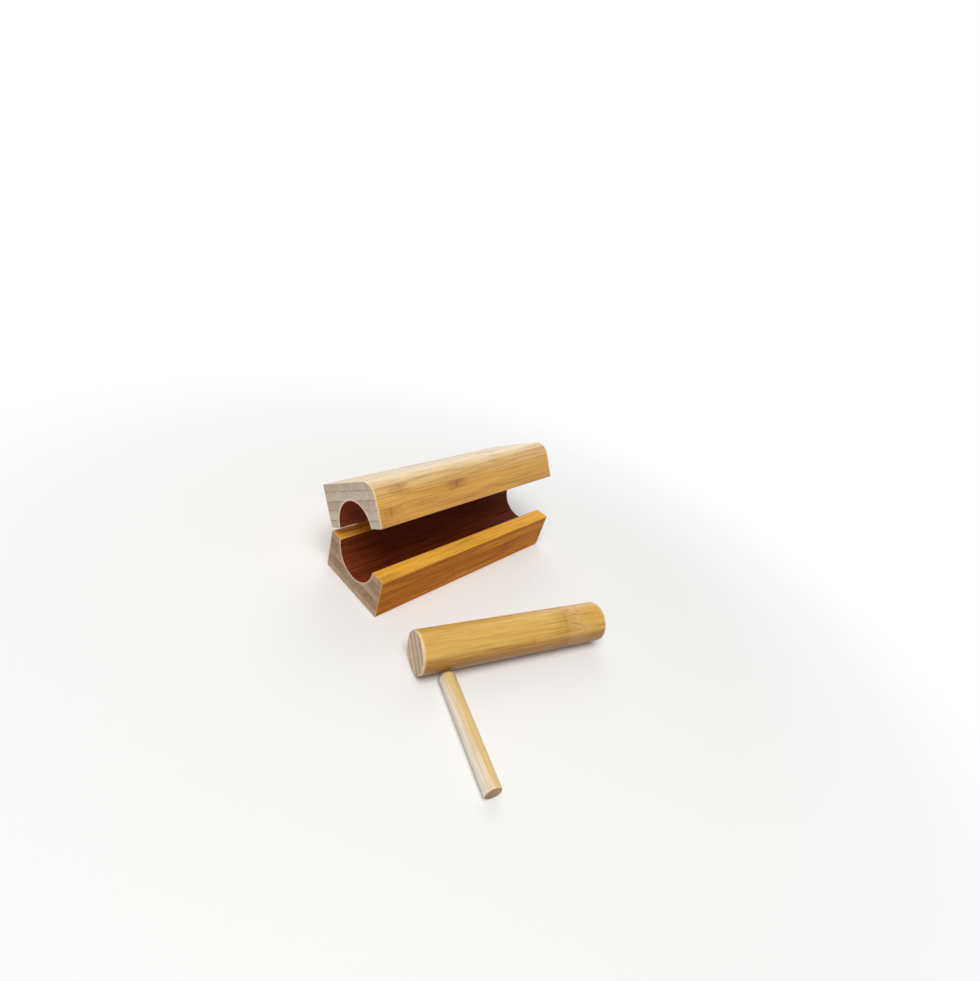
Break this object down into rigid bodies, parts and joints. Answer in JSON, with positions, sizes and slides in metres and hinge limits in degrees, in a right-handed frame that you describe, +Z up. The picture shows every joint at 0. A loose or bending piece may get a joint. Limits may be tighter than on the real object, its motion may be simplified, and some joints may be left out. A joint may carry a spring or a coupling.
{
  "type": "sushi roller",
  "caption": "Bamboo sushi roller: a clamshell mould with a round channel, hinged along its back, with a thick press dowel and a thin filling stick lying beside it.",
  "frame": {"origin": "middle of the mould's flat base, on the surface it stands on", "axes": "+X along the mould to the right seen from its open front, +Y from the open front to the hinged back, +Z up"},
  "size_m": [0.2277, 0.2389, 0.0991],
  "materials": {
    "mould_bamboo": "oiled satin",
    "dowel_bamboo": "sanded satin",
    "stick_bamboo": "sanded satin",
    "hinge_brass": "brushed",
    "pin_steel": "drawn",
    "screw_brass": "turned"
  },
  "bodies": {
    "mould_base": {"lower_mould": "mould_bamboo", "left_hinge_lower_leaf": "hinge_brass", "right_hinge_lower_leaf": "hinge_brass", "left_hinge_pin": "pin_steel", "right_hinge_pin": "pin_steel", "left_hinge_lower_screw_1": "screw_brass", "left_hinge_lower_screw_2": "screw_brass", "right_hinge_lower_screw_1": "screw_brass", "right_hinge_lower_screw_2": "screw_brass"},
    "mould_lid": {"upper_mould": "mould_bamboo", "left_hinge_upper_leaf": "hinge_brass", "right_hinge_upper_leaf": "hinge_brass", "left_hinge_upper_screw_1": "screw_brass", "left_hinge_upper_screw_2": "screw_brass", "right_hinge_upper_screw_1": "screw_brass", "right_hinge_upper_screw_2": "screw_brass"},
    "dowel": {"press_dowel": "dowel_bamboo"},
    "stick": {"filling_stick": "stick_bamboo"}
  },
  "joints": [
    {"name": "mould_hinge", "type": "hinge", "parent": "mould_base", "child": "mould_lid", "pos_m": [0, 0.03725, 0.03515], "axis": [-1, 0, 0], "range_deg": [-34, 146]},
    {"name": "dowel_lift", "type": "slide", "parent": "mould_base", "child": "dowel", "axis": [0, 0, 1], "range_m": [0, 0.12]},
    {"name": "stick_lift", "type": "slide", "parent": "mould_base", "child": "stick", "axis": [-0.2603, -0.6575, 0.7071], "range_m": [0, 0.12]}
  ]
}
